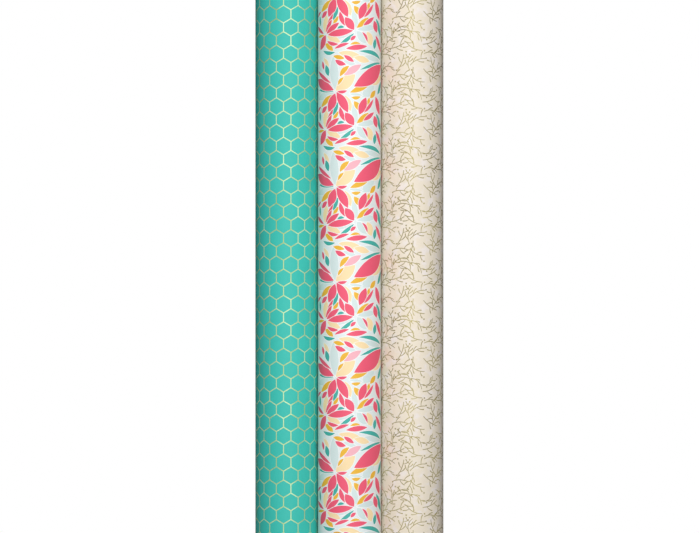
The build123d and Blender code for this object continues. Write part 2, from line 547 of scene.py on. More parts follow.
@dataclass(frozen=True)
class SprigPrint:
    """Fine foil sprigs, each a bent stem with side twigs, buds and a berry.

    Attributes:
        ink: The sheet's colour.
        tile_mm: The tile's width round the sheet and its height.
        columns: Sprigs across the tile.
        rows: Sprigs up the tile.
        stem_mm: Length of a stem.
        line_mm: Half the width of a line at its middle.
        seed: Seed of the sprigs' places and turns.
        tries: How many ways each sprig is tried, of which the one clearest of the others stays.
        stray: How far a sprig may stand from its place, as a share of the distance between places.
        lengths: Least and greatest length of a stem, as shares of the usual one.
        bends: The same for how far its middle bends aside.
        knots: Where its twigs leave it, as shares of its length.
        twig_angles_deg: Least and greatest angle between a twig and the stem.
        twig_lengths: Least and greatest length of a twig, as shares of the stem's.
        twig_bend: How far a twig's middle bends aside, as a share of its length.
        bud: How much wider a twig is at its tip than at its middle, in half line widths.
        berry: Length of the berry, in half line widths.
        berry_gap: Distance from the last twig's tip to the berry, in half line widths.
        berry_weight: Width of the berry, in half line widths.
        veil: The pale tint that clouds over the ink.
        cloud_mm: Size of a cloud.
        most_veil: How much of the ink a cloud covers at most.
    """

    ink: str
    tile_mm: Point
    columns: int
    rows: int
    stem_mm: float
    line_mm: float
    seed: int
    tries: int = 24
    stray: float = 0.4
    lengths: Point = (0.8, 1.15)
    bends: Point = (0.08, 0.2)
    knots: tuple[float, ...] = (0.25, 0.5, 0.76)
    twig_angles_deg: Point = (30, 55)
    twig_lengths: Point = (0.3, 0.46)
    twig_bend: float = 0.1
    bud: float = 0.35
    berry: float = 3.6
    berry_gap: float = 3.2
    berry_weight: float = 1.9
    veil: str = "#EEE6E2"
    cloud_mm: float = 6.0
    most_veil: float = 0.8

    def strokes(self) -> list[Stroke]:
        """Draws every sprig of the tile.

        Returns:
            The strokes of all sprigs.
        """
        random = Random(self.seed)
        made: list[Stroke] = []
        for column in range(self.columns):
            for row in range(self.rows):
                ways = []
                for _ in range(self.tries):
                    right = column + 0.5 + random.uniform(-self.stray, self.stray)
                    up = row + 0.5 * (column % 2) + random.uniform(-self.stray, self.stray)
                    place = (right * self.tile_mm[0] / self.columns, up * self.tile_mm[1] / self.rows)
                    ways.append(self.sprig(random, place, random.uniform(0, TURN)))
                made += max(ways, key=lambda way: self.clearance(way, made))
        return made

    def apart(self, first: Point, second: Point) -> float:
        """Measures the distance between two points round the repeating tile.

        Args:
            first: One point.
            second: The other.

        Returns:
            The distance to the nearest repeat.
        """
        gaps = [abs(first[i] - second[i]) % self.tile_mm[i] for i in (0, 1)]
        return sqrt(sum(min(gap, side - gap) ** 2 for gap, side in zip(gaps, self.tile_mm)))

    def clearance(self, sprig: list[Stroke], others: list[Stroke]) -> float:
        """How far a sprig keeps from the strokes drawn so far.

        Args:
            sprig: The sprig's strokes.
            others: The strokes drawn so far.

        Returns:
            The sum over its strokes of the distance to the nearest other.
        """
        total = 0.0
        for stroke in sprig:
            total += min((self.apart(stroke.middle, other.middle) for other in others), default=0.0)
        return total

    def sprig(self, random: Random, middle: Point, turn: float) -> list[Stroke]:
        """Draws one sprig.

        Args:
            random: Where its unevenness comes from.
            middle: The middle of its stem.
            turn: Which way the stem points.

        Returns:
            Its strokes: the stem, the twigs and the berry.
        """
        length = self.stem_mm * random.uniform(*self.lengths)
        bend = self.stem_mm * random.uniform(*self.bends) * random.choice((-1, 1))
        base = ahead(middle, turn, -length / 2)
        strokes = [Stroke(base, ahead(base, turn, length), bend)]
        side = random.choice((-1, 1))
        for share in self.knots:
            lifted = bend * 4 * share * (1 - share)  # the stem's curve, a parabola
            knot = ahead(ahead(base, turn, share * length), turn + pi / 2, lifted)
            angle = turn + side * radians(random.uniform(*self.twig_angles_deg))
            reach = length * random.uniform(*self.twig_lengths)
            twig_bend, bud = side * self.twig_bend * reach, self.bud * self.line_mm
            strokes.append(Stroke(knot, ahead(knot, angle, reach), twig_bend, bud))
            side = -side
        berry = ahead(strokes[-1].tip, turn, self.berry_gap * self.line_mm)
        end = ahead(berry, turn, self.berry * self.line_mm)
        strokes.append(Stroke(berry, end, weight=self.berry_weight))
        return strokes

    def layers(self, graph: Graph, place: Socket) -> PrintLayers:
        """Draws the print.

        Args:
            graph: The material's nodes.
            place: Socket of the place on the sheet, in millimetres.

        Returns:
            The print's layers.
        """
        group = stroke_group()
        mask: Any = 0.0
        for stroke in self.strokes():
            inputs = lines_of(stroke.base, stroke.tip, self.tile_mm)
            inputs |= {"Place": place, "Mask": mask, "Bend": stroke.bend, "Flare": stroke.flare}
            inputs["Width"] = self.line_mm * stroke.weight
            mask = graph.add("Group", inputs, node_tree=group)
        clouds = graph.add("TexNoise", {"Vector": place, "Scale": 1 / self.cloud_mm, "Detail": 2.0})
        veil = graph.add("MapRange", (clouds, 0.5, 0.66, 0.0, self.most_veil))
        colours = {0: veil, 6: linear(self.ink), 7: linear(self.veil)}
        return PrintLayers(graph.add("Mix", colours, 2, data_type="RGBA"), mask)


# ---------------------------------------------------------------- finishes


@dataclass(frozen=True)
class FoilStamp:
    """Hot-stamped aluminium foil with a tinted lacquer, which gives thin shining metal lines, their colour laid in
    patches of painted highlight and painted shade.

    Attributes:
        bright: Colour painted where the foil would catch the light, a painted highlight.
        painted_shade: Colour painted where the foil would turn away from the light, a painted shade.
        roughness: How much the paper's grain breaks up its reflections.
        metallic: Share of the stamped line that is metal.
        patch_mm: Size of the patches of painted highlight and painted shade.
        press_mm: How deep the stamp presses it into the sheet.
    """

    bright: str
    painted_shade: str
    roughness: float = 0.6
    metallic: float = 0.25
    patch_mm: float = 16.0
    press_mm: float = 0.015


@dataclass(frozen=True)
class CoatedGiftWrap:
    """Clay-coated gift wrap, 80 g/m2, printed by gravure: a smooth satin sheet with a faint fibre grain.

    The coat gives the eye a soft sheen over even ink, and the sheet's slack shows as faint upright waves.

    Attributes:
        name: The material's name.
        artwork: The print.
        foil: The foil of the print's lines, or None.
        roughness: The coated surface's roughness.
        fibre_mm: Length of a clump of fibres. Real ones are near 0.3 mm, and these are drawn coarser.
        fibre_relief_mm: Height of the fibres.
        fibre_shade: Share of the light that the hollows between fibres still give back.
        wave_mm: Distance between the slack sheet's waves, round the roll.
        wave_relief_mm: Height of the waves.
        wave_squash: Their distance round the roll as a share of their length up it.
    """

    name: str
    artwork: HoneycombPrint | LeafPrint | SprigPrint
    foil: FoilStamp | None = None
    roughness: float = 0.6
    fibre_mm: float = 0.9
    fibre_relief_mm: float = 0.02
    fibre_shade: float = 0.965
    wave_mm: float = 38.0
    wave_relief_mm: float = 0.9
    wave_squash: float = 0.22

    def build(self) -> bpy.types.Material:
        """Makes the material.

        Returns:
            The material, which reads the sheet's own map.
        """
        material, graph, shader = new_material(self.name)
        place = graph.add("UVMap", uv_map=UV_NAME)
        layers = self.artwork.layers(graph, place)
        fibre = graph.add("TexNoise", {"Vector": place, "Scale": 1 / self.fibre_mm, "Detail": 4.0})
        slack = graph.add("VectorMath", (place, (1.0, self.wave_squash, 1.0)), operation="MULTIPLY")
        waves = graph.add("TexNoise", {"Vector": slack, "Scale": 1 / self.wave_mm, "Detail": 1.0})
        # Faint fibre grain with painted shade: the ink is darkened a little in the hollows between fibres.
        grain_and_hollow_shade = graph.add("MapRange", (fibre, 0.3, 0.7, self.fibre_shade, 1.0))
        colour = graph.add("VectorMath", {0: layers.colour, "Scale": grain_and_hollow_shade}, operation="SCALE")
        rough = graph.add("MapRange", (fibre, 0.3, 0.7, self.roughness - 0.04, self.roughness + 0.05))
        swell = graph.add("Math", (waves, self.wave_relief_mm), operation="MULTIPLY")
        height = graph.add("Math", (fibre, self.fibre_relief_mm, swell), operation="MULTIPLY_ADD")
        if self.foil:
            # Painted highlight and painted shade: noise patches choose the foil's colour between a lit copy and a
            # shaded copy, in place of its changing reflections.
            noise = {"Vector": slack, "Scale": 1 / self.foil.patch_mm, "Detail": 2.0}
            painted_light_mask = graph.add("MapRange", (graph.add("TexNoise", noise), 0.35, 0.65))
            painted_light_colours = {0: painted_light_mask, 6: linear(self.foil.painted_shade), 7: linear(self.foil.bright)}
            metal = graph.add("Mix", painted_light_colours, 2, data_type="RGBA")
            colour = graph.add("Mix", {0: layers.foil, 6: colour, 7: metal}, 2, data_type="RGBA")
            rough = graph.add("Mix", {0: layers.foil, 2: rough, 3: self.foil.roughness})
            metallic = graph.add("Math", (layers.foil, self.foil.metallic), operation="MULTIPLY")
            graph.join(shader, {"Metallic": metallic})
            height = graph.add("Math", (layers.foil, -self.foil.press_mm, height), operation="MULTIPLY_ADD")
        bump = graph.add("Bump", {"Strength": 0.35, "Distance": MM, "Height": height})
        graph.join(shader, {"Base Color": colour, "Roughness": rough, "Normal": bump})
        graph.join(shader, {"IOR": 1.5, "Specular IOR Level": 0.22})
        return material


@dataclass(frozen=True)
class BarePaper:
    """The uncoated back of the sheet and its cut edges: matte white paper with soft fibre clumps.

    Attributes:
        name: The material's name.
        light: Colour of the paper.
        dark: Colour between its fibres.
        fibre_mm: Length of a clump of fibres, drawn coarser than the real 0.3 mm.
    """

    name: str
    light: str = "#F4F2EC"
    dark: str = "#DEDAD0"
    fibre_mm: float = 1.1

    def build(self) -> bpy.types.Material:
        """Makes the material.

        Returns:
            The material, which reads object coordinates.
        """
        material, graph, shader = new_material(self.name)
        place = graph.add("TexCoord", output="Object")
        fibre = graph.add("TexNoise", {"Vector": place, "Scale": 1 / (self.fibre_mm * MM), "Detail": 5.0})
        clumps = graph.add("MapRange", (fibre, 0.35, 0.62))
        colours = {0: clumps, 6: linear(self.dark), 7: linear(self.light)}
        paper = graph.add("Mix", colours, 2, data_type="RGBA")
        bump = graph.add("Bump", {"Strength": 0.4, "Distance": 0.05 * MM, "Height": fibre})
        graph.join(shader, {"Base Color": paper, "Roughness": 0.85, "IOR": 1.47, "Normal": bump})
        return material


@dataclass(frozen=True)
class StackedEdge:
    """The ends of the wound turns: cut paper edges, white with the ink's colour showing between them.

    Attributes:
        name: The material's name.
        ink: The print's main ink.
        centre: The roll's middle, in metres.
        paper: Colour of the cut paper.
        turn_mm: Distance between the lines. Real turns are 0.12 mm apart, and these are drawn coarser.
        wander_mm: Distance over which the lines wander in and out.
        most_ink: How much of the paper's colour a line takes at most.
    """

    name: str
    ink: str
    centre: Point
    paper: str = "#F1EEE6"
    turn_mm: float = 0.36
    wander_mm: float = 7.14
    most_ink: float = 0.3

    def build(self) -> bpy.types.Material:
        """Makes the material.

        Returns:
            The material, which reads object coordinates round the roll's axis.
        """
        material, graph, shader = new_material(self.name)
        place = graph.add("TexCoord", output="Object")
        local = graph.add("VectorMath", (place, (*self.centre, 0.0)), operation="SUBTRACT")
        flat = graph.add("VectorMath", (local, (1.0, 1.0, 0.0)), operation="MULTIPLY")
        radius = graph.add("VectorMath", (flat,), "Value", operation="LENGTH")
        uneven = graph.add("TexNoise", {"Vector": place, "Scale": 1 / (self.wander_mm * MM), "Detail": 3.0})
        wander = graph.add("Math", (uneven, 9.0), operation="MULTIPLY")
        phase = graph.add("Math", (radius, TURN / (self.turn_mm * MM), wander), operation="MULTIPLY_ADD")
        wave = graph.add("Math", (phase,), operation="SINE")
        line = graph.add("Math", (wave, 0.5, 0.5), operation="MULTIPLY_ADD")
        narrow = graph.add("Math", (line, 3.0), operation="POWER")
        shade = graph.add("Math", (narrow, self.most_ink), operation="MULTIPLY")
        colours = {0: shade, 6: linear(self.paper), 7: linear(self.ink)}
        edges = graph.add("Mix", colours, 2, data_type="RGBA")
        bump = graph.add("Bump", {"Strength": 0.6, "Distance": 0.1 * MM, "Height": line}, invert=True)
        graph.join(shader, {"Base Color": edges, "Roughness": 0.8, "IOR": 1.47, "Normal": bump})
        return material


@dataclass(frozen=True)
class SpiralBoard:
    """Spiral-wound recycled core board: matte grey-brown fibre with a seam that climbs round the tube.

    Attributes:
        name: The material's name.
        centre: The tube's middle, in metres.
        ply_mm: Width of the board strip, which sets the seam's climb.
        fibre_mm: Length of a clump of fibres.
        fleck_mm: Distance between the dark flecks.
        light: Colour of the board.
        dark: Colour of its darker fibres.
        fleck: Colour of its flecks.
        seam: Colour of the seam.
    """

    name: str
    centre: Point
    ply_mm: float = 62.0
    fibre_mm: float = 2.38
    fleck_mm: float = 0.667
    light: str = "#B89C78"
    dark: str = "#8F7453"
    fleck: str = "#6E5537"
    seam: str = "#5C4630"

    def build(self) -> bpy.types.Material:
        """Makes the material.

        Returns:
            The material, which reads object coordinates round the tube's axis.
        """
        material, graph, shader = new_material(self.name)
        place = graph.add("TexCoord", output="Object")
        local = graph.add("VectorMath", (place, (*self.centre, 0.0)), operation="SUBTRACT")
        across, back, up = graph.add("SeparateXYZ", (local,)).node.outputs
        angle = graph.add("Math", (back, across), operation="ARCTAN2")
        climb = graph.add("Math", (up, TURN / (self.ply_mm * MM), angle), operation="MULTIPLY_ADD")
        half = graph.add("Math", (climb, 0.5), operation="MULTIPLY")
        nearness = graph.add("Math", (graph.add("Math", (half,), operation="SINE"),), operation="ABSOLUTE")
        seam = graph.add("Math", (nearness, 0.025), operation="LESS_THAN")
        fibre = graph.add("TexNoise", {"Vector": place, "Scale": 1 / (self.fibre_mm * MM), "Detail": 6.0})
        flecks = graph.add("TexNoise", {"Vector": place, "Scale": 1 / (self.fleck_mm * MM), "Detail": 2.0})
        board = linear(self.dark)
        for share, colour in (
            (graph.add("MapRange", (fibre, 0.35, 0.65)), self.light),
            (graph.add("Math", (flecks, 0.68), operation="GREATER_THAN"), self.fleck),
            (graph.add("Math", (seam, 0.7), operation="MULTIPLY"), self.seam),
        ):
            board = graph.add("Mix", {0: share, 6: board, 7: linear(colour)}, 2, data_type="RGBA")
        height = graph.add("Math", (seam, -1.5, fibre), operation="MULTIPLY_ADD")
        bump = graph.add("Bump", {"Strength": 0.5, "Distance": 0.15 * MM, "Height": height})
        graph.join(shader, {"Base Color": board, "Roughness": 0.9, "IOR": 1.47, "Normal": bump})
        return material


@dataclass(frozen=True)
class DriedGlue:
    """Dried hot-melt pick-up glue: a pale amber, slightly glossy line.

    Attributes:
        name: The material's name.
        thin: Colour where it lies thin.
        thick: Colour of its lumps.
        lump_mm: Distance between its lumps.
    """

    name: str
    thin: str = "#D9C99A"
    thick: str = "#EFE6C6"
    lump_mm: float = 1.67

    def build(self) -> bpy.types.Material:
        """Makes the material.

        Returns:
            The material, which reads object coordinates.
        """
        material, graph, shader = new_material(self.name)
        place = graph.add("TexCoord", output="Object")
        lumps = graph.add("TexNoise", {"Vector": place, "Scale": 1 / (self.lump_mm * MM), "Detail": 3.0})
        colours = {0: lumps, 6: linear(self.thin), 7: linear(self.thick)}
        amber = graph.add("Mix", colours, 2, data_type="RGBA")
        bump = graph.add("Bump", {"Strength": 0.5, "Distance": 0.05 * MM, "Height": lumps})
        graph.join(shader, {"Base Color": amber, "Roughness": 0.35, "IOR": 1.48, "Normal": bump})
        return material


@dataclass(frozen=True)
class ClearTape:
    """Clear polypropylene tape: a glossy film that lets the print show, with small bubbles under it.

    Attributes:
        name: The material's name.
        alpha: How much of the film is seen.
        bubble_mm: Distance between the bubbles.
        bubble_share: Radius of a bubble, as a share of that distance.
        film: Colour of the film.
        bubble: Colour of a bubble.
    """

    name: str
    alpha: float = 0.14
    bubble_mm: float = 3.4
    bubble_share: float = 0.12
    film: str = "#F7F6F0"
    bubble: str = "#FFFFFF"

    def build(self) -> bpy.types.Material:
        """Makes the material.

        Returns:
            The material, which reads object coordinates.
        """
        material, graph, shader = new_material(self.name)
        place = graph.add("TexCoord", output="Object")
        bubbles = graph.add("TexVoronoi", {"Vector": place, "Scale": 1 / (self.bubble_mm * MM)})
        dots = graph.add("Math", (bubbles, self.bubble_share), operation="LESS_THAN")
        colours = {0: dots, 6: linear(self.film), 7: linear(self.bubble)}
        tint = graph.add("Mix", colours, 2, data_type="RGBA")
        bump = graph.add("Bump", {"Strength": 0.1, "Distance": 0.03 * MM, "Height": dots})
        graph.join(shader, {"Base Color": tint, "Roughness": 0.15, "IOR": 1.49, "Normal": bump})
        graph.join(shader, {"Alpha": self.alpha})
        return material


@dataclass(frozen=True)
class PalePaintedFloor:
    """The floor: matte white paint with a faint roller texture.

    Attributes:
        name: The material's name.
        low: Colour in the hollows that the roller left.
        high: Colour of the paint.
        stipple_mm: Distance between the hollows.
    """

    name: str
    low: str = "#F6F6F5"
    high: str = "#FDFDFC"
    stipple_mm: float = 10 / 3

    def build(self) -> bpy.types.Material:
        """Makes the material.

        Returns:
            The material, which reads object coordinates.
        """
        material, graph, shader = new_material(self.name)
        place = graph.add("TexCoord", output="Object")
        stipple = graph.add("TexNoise", {"Vector": place, "Scale": 1 / (self.stipple_mm * MM), "Detail": 2.0})
        colours = {0: stipple, 6: linear(self.low), 7: linear(self.high)}
        graph.join(shader, {"Base Color": graph.add("Mix", colours, 2, data_type="RGBA"), "Roughness": 0.7})
        return material


# ---------------------------------------------------------------- meshes


def finished(name: str, shape: Any, materials: Sequence[Any], sharp_deg: float = 35.0) -> bpy.types.Object:
    """Turns a mesh into an object of the scene, smooth but for its sharp edges.

    Args:
        name: The object's name.
        shape: The bmesh, which is freed.
        materials: The materials of its slots.
        sharp_deg: Edges that turn by more than this stay sharp.

    Returns:
        The object.
    """
    for face in shape.faces:
        face.smooth = True
    for edge in shape.edges:
        edge.smooth = edge.calc_face_angle(pi) < radians(sharp_deg)
    mesh = bpy.data.meshes.new(name)
    shape.to_mesh(mesh)
    shape.free()
    for material in materials:
        mesh.materials.append(material)
    made = bpy.data.objects.new(name, mesh)
    bpy.context.scene.collection.objects.link(made)
    return made


def grow_rim(shape: Any, rim: list) -> tuple[list, list]:
    """Extrudes a closed rim once, without moving it.

    Args:
        shape: The mesh.
        rim: The rim's edges.

    Returns:
        The new rim's edges and its vertices.
    """
    made = bmesh.ops.extrude_edge_only(shape, edges=rim)["geom"]
    edges = [item for item in made if isinstance(item, bmesh.types.BMEdge) and item.is_boundary]
    return edges, [item for item in made if isinstance(item, bmesh.types.BMVert)]


def map_print(shape: Any, round_mm: Callable[[Any], float]) -> None:
    """Gives a mesh the paper's own map.

    Args:
        shape: The mesh.
        round_mm: How far round the sheet a vertex is.
    """
    layer = shape.loops.layers.uv.new(UV_NAME)
    for face in shape.faces:
        for loop in face.loops:
            loop[layer].uv = (round_mm(loop.vert), loop.vert.co.z / MM)


def thicken(piece: bpy.types.Object, thickness: float, inner_material: int) -> None:
    """Gives a sheet its thickness, inwards from its outside.

    Args:
        piece: The sheet's object.
        thickness: The thickness, in metres.
        inner_material: How many slots further the inside and the edges find their material.
    """
    shell = piece.modifiers.new("sheet_thickness", "SOLIDIFY")
    shell.thickness = thickness
    shell.offset = -1.0
    shell.material_offset = inner_material
    shell.material_offset_rim = inner_material


@dataclass(frozen=True)
class SheetSpiral:
    """The line that the wound sheet's outside follows, worked out from the frame's joints.

    Angles are turned on past a full turn: the free edge is at the largest, and the sheet winds inwards
    as the angle falls.

    Attributes:
        centre: The roll's middle, in metres.
        wound: Radius of the roll under its last turn.
        rise: How far the free edge stands out from that.
        tail_start: Angle of the tail's first crease.
        edge: Angle of the free edge.
        thickness: Thickness of the sheet.
    """

    centre: Point
    wound: float
    rise: float
    tail_start: float
    edge: float
    thickness: float

    @classmethod
    def of_roll(cls, roll: str, thickness: float) -> "SheetSpiral":
        """Reads a roll's spiral from the places of its joints.

        Args:
            roll: The roll's name.
            thickness: Thickness of the sheet.

        Returns:
            The spiral.
        """
        low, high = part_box(f"{roll}_core_tube")
        centre = ((low[0] + high[0]) / 2, (low[1] + high[1]) / 2)
        joints = {joint["name"]: joint["pos_m"] for joint in frame["joints"] if "pos_m" in joint}

        def polar(name: str) -> tuple[float, float]:
            """Radius and angle at which a joint stands from the roll's middle."""
            x, y = joints[name][0] - centre[0], joints[name][1] - centre[1]
            return sqrt(x * x + y * y), atan2(y, x)

        first, start = polar(f"{roll}_tail_1_hinge")
        last, late = polar(f"{roll}_tail_5_hinge")
        edge = polar(f"{roll}_tape_peel")[1]
        slope = (last - first) / (late - start)
        rise = slope * TURN
        wound = first + thickness / 2 - slope * (start + TURN - edge)
        return cls(centre, wound, rise, start + TURN, edge + TURN, thickness)

    def radius(self, angle: float) -> float:
        """Radius of the sheet's outside at an angle."""
        return self.wound + self.rise * max(0.0, angle - (self.edge - TURN)) / TURN

    def point(self, angle: float, height: float, out: float = 0.0) -> Vector:
        """Place at an angle and height, this far out from the sheet's outside."""
        reach = self.radius(angle) + out
        return Vector((self.centre[0] + reach * cos(angle), self.centre[1] + reach * sin(angle), height))

    def round_mm(self, angle: float) -> float:
        """Millimetres round the sheet from the line that faces front."""
        return (angle - 3 * pi / 2) * self.wound / MM


def patch(spiral: SheetSpiral, angles: Point, heights: Point, columns: int, rows: int) -> Any:
    """Makes a stretch of the sheet's outside, with the paper's own map.

    Args:
        spiral: The line of the sheet's outside.
        angles: Its first and last angle.
        heights: Its lowest and highest height.
        columns: Faces round it.
        rows: Faces up it.

    Returns:
        The bmesh.
    """
    shape = bmesh.new()
    turn = shape.verts.layers.float.new("turn")
    bmesh.ops.create_grid(shape, x_segments=columns, y_segments=rows, size=0.5)
    for vert in shape.verts:
        vert[turn] = angles[0] + (vert.co.x + 0.5) * (angles[1] - angles[0])
        vert.co = spiral.point(vert[turn], heights[0] + (vert.co.y + 0.5) * (heights[1] - heights[0]))
    map_print(shape, lambda vert: spiral.round_mm(vert[turn]))
    return shape


@dataclass
class CoreTube:
    """The paperboard tube, bevelled at its cut ends.

    Attributes:
        roll: The roll's name.
        spiral: The roll's sheet, which gives the middle.
        board: The board's material.
        segments: Sides of the drawn circle.
        bevel: Width of the crushed rim at the cut ends, in metres.
    """

    roll: str
    spiral: SheetSpiral
    board: Any
    segments: int = 96
    bevel: float = 0.25 * MM

    def build(self) -> bpy.types.Object:
        """Makes the tube in place of its CAD node.

        Returns:
            The tube's object.
        """
        node = f"{self.roll}_core_tube"
        low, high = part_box(node)
        outer = (high[0] - low[0]) / 2
        mounts = {mount["name"]: mount for mount in frame["record"]["mounts"]}
        bore = mounts[f"{self.roll}_core_bore"]["dims"]["r_mm"] * MM
        shape = bmesh.new()
        made = bmesh.ops.create_circle(shape, segments=self.segments, radius=bore)
        rim = bmesh.ops.extrude_edge_only(shape, edges=shape.edges[:])["geom"]
        outside = [vert for vert in rim if isinstance(vert, bmesh.types.BMVert)]
        bmesh.ops.scale(shape, vec=(outer / bore, outer / bore, 1), verts=outside)
        bottom = bmesh.ops.extrude_face_region(shape, geom=shape.faces[:])["geom"]
        top = [vert for vert in bottom if isinstance(vert, bmesh.types.BMVert)]
        bmesh.ops.translate(shape, vec=(0, 0, high[2] - low[2]), verts=top)
        bmesh.ops.recalc_face_normals(shape, faces=shape.faces[:])
        rims = [edge for edge in shape.edges if edge.calc_face_angle(0) > 1]  # the square ones
        bmesh.ops.bevel(shape, geom=rims, offset=self.bevel, offset_type="OFFSET", affect="EDGES",
                        segments=3, profile=0.5, material=-1)
        bmesh.ops.translate(shape, vec=(*self.spiral.centre, low[2]), verts=shape.verts[:])
        tube = finished(f"{self.roll}_core_tube_board", shape, [self.board])
        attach(tube, f"{self.roll}_roll")
        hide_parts(node)
        return tube


def crosses_step(face: Any, turn: Any) -> bool:
    """Whether a face closes the step between the sheet's free edge and the turn under it."""
    turns = [vert[turn] for vert in face.verts]
    return max(turns) - min(turns) > pi


@dataclass(frozen=True)
class BakeLayout:
    """Where the parts of a wound sheet lie on the square that it is baked to, whose side is 1.

    The printed side's bands stand in two columns. Beside them lie the last turn's step, the bore and the
    two ends.

    Attributes:
        column: Width of a column of bands.
        gap: Bare margin round a band.
        step_left: Left side of the step's strip.
        step_width: Width of the strip.
        bore: Lower left corner of the bore.
        bore_size: Width and height of the bore.
        ends: Middles of the lower and the upper end.
        end_radius: Radius of an end.
    """

    column: float = 0.39
    gap: float = 0.004
    step_left: float = 0.783
    step_width: float = 0.005
    bore: Point = (0.8, 0.45)
    bore_size: Point = (0.19, 0.54)
    ends: tuple[Point, Point] = ((0.89, 0.11), (0.89, 0.33))
    end_radius: float = 0.1


@dataclass
class WoundSheet:
    """All of the wound sheet but its tail: the printed outside, the stacked turns' ends and the bore.

    Attributes:
        roll: The roll's name.
        spiral: The line of the sheet's outside.
        printed: The printed side's material.
        stacked: The material of the turns' ends.
        slot: The record's slot of the printed side; not used.
        segments: Sides of the drawn turn.
        bands: Rows of faces up the printed side.
        steps: Rings of each end, each of them three real turns wide.
        telescope: How far the rings step in at most, in metres.
        seed: Seed of the rings' unevenness.
        layout: Where its parts lie on the map for the bake.
    """

    roll: str
    spiral: SheetSpiral
    printed: Any
    stacked: Any
    slot: str
    segments: int = 120
    bands: int = 6
    steps: int = 12
    telescope: float = 0.45 * MM
    seed: int = 5
    layout: BakeLayout = BakeLayout()

    def lay(self, verts: Iterable[Any], turn: Any, share: float, height: float) -> None:
        """Puts a ring of vertices on the spiral.

        Args:
            verts: The ring's vertices.
            turn: The mesh's layer that holds each vertex's angle.
            share: How far in the ring lies, from 0 at the outside to 1 at the bore.
            height: The ring's height.
        """
        bore = self.bore
        for vert in verts:
            inward = (bore - self.spiral.radius(vert[turn])) * share
            vert.co = self.spiral.point(vert[turn], height, inward)

    @property
    def bore(self) -> float:
        """Radius of the hole that the core and its glue fill."""
        low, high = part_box(f"{self.roll}_core_tube")
        return (high.x - low.x) / 2 + self.spiral.thickness

    def stack(self, shape: Any, rim: list, turn: Any, height: float, inward: int) -> list:
        """Steps one end in from the outside to the bore, as turns that slid a little.

        Args:
            shape: The mesh.
            rim: The closed rim that it starts from.
            turn: The mesh's layer that holds each vertex's angle.
            height: The end's height.
            inward: 1 where the roll is above the end, and -1 where it is below.

        Returns:
            The rim at the bore.
        """
        random = Random(self.seed + inward)
        level = height
        for number in range(1, self.steps + 1):
            rim, ring = grow_rim(shape, rim)
            self.lay(ring, turn, number / self.steps, level)
            if number < self.steps:
                level = height + inward * random.uniform(0.1, 1) * self.telescope
                rim, ring = grow_rim(shape, rim)
                self.lay(ring, turn, number / self.steps, level)
        return rim

    def map_bake(self, shape: Any, walls: set, turn: Any, heights: Point) -> None:
        """Lays the whole sheet out on one square, so that a baked print stays sharp.

        Args:
            shape: The mesh.
            walls: The faces of the printed side and of the last turn's step.
            turn: The mesh's layer that holds each vertex's angle.
            heights: The sheet's lowest and highest height.
        """
        layer = shape.loops.layers.uv.new(BAKE_NAME)
        layout = self.layout
        width, gap = layout.column, layout.gap
        rows = self.bands // 2
        tall = heights[1] - heights[0]
        reach = self.spiral.wound + self.spiral.rise
        for face in shape.faces:
            up = (face.calc_center_median().z - heights[0]) / tall
            band = int(up * self.bands)
            step = crosses_step(face, turn)
            for loop in face.loops:
                vert = loop.vert
                around = (vert[turn] - self.spiral.tail_start) / TURN + 1
                level = (vert.co.z - heights[0]) / tall
                if face in walls and step:
                    u, v = layout.step_left + layout.step_width * around, level
                elif face in walls:
                    u = gap + width * (band // rows) + (width - 2 * gap) * around
                    v = (band % rows + gap + (1 - 2 * gap) * (level * self.bands - band)) / rows
                elif 0.1 < up < 0.9:  # the bore, whose faces run from end to end
                    u = layout.bore[0] + layout.bore_size[0] * around
                    v = layout.bore[1] + layout.bore_size[1] * level
                else:
                    middle = layout.ends[int(up > 0.5)]
                    u = middle[0] + layout.end_radius * (vert.co.x - self.spiral.centre[0]) / reach
                    v = middle[1] + layout.end_radius * (vert.co.y - self.spiral.centre[1]) / reach
                loop[layer].uv = (u, v)

    def build(self) -> bpy.types.Object:
        """Makes the wound sheet in place of its CAD node.

        Returns:
            The sheet's object.
        """
        node = f"{self.roll}_wound_web"
        low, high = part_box(node)
        shape = bmesh.new()
        turn = shape.verts.layers.float.new("turn")
        bmesh.ops.create_circle(shape, segments=self.segments + 1, radius=1.0)
        for index, vert in enumerate(shape.verts):
            vert[turn] = self.spiral.tail_start - TURN * (1 - index / self.segments)
        self.lay(shape.verts, turn, 0.0, low.z)
        bottom = shape.edges[:]
        rim = bottom
        for band in range(1, self.bands + 1):
            rim, ring = grow_rim(shape, rim)
            self.lay(ring, turn, 0.0, low.z + (high.z - low.z) * band / self.bands)
        walls = set(shape.faces)
        ends = self.stack(shape, bottom, turn, low.z, 1) + self.stack(shape, rim, turn, high.z, -1)
        bmesh.ops.bridge_loops(shape, edges=ends)
        map_print(shape, lambda vert: self.spiral.round_mm(vert[turn]))
        self.map_bake(shape, walls, turn, (low.z, high.z))
        for face in shape.faces:
            face.material_index = int(face not in walls or crosses_step(face, turn))
        bmesh.ops.remove_doubles(shape, verts=shape.verts[:], dist=0.001 * MM)
        bmesh.ops.recalc_face_normals(shape, faces=shape.faces[:])
        sheet = finished(f"{self.roll}_wound_sheet", shape, [self.printed, self.stacked])
        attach(sheet, f"{self.roll}_roll")
        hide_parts(node)
        return sheet


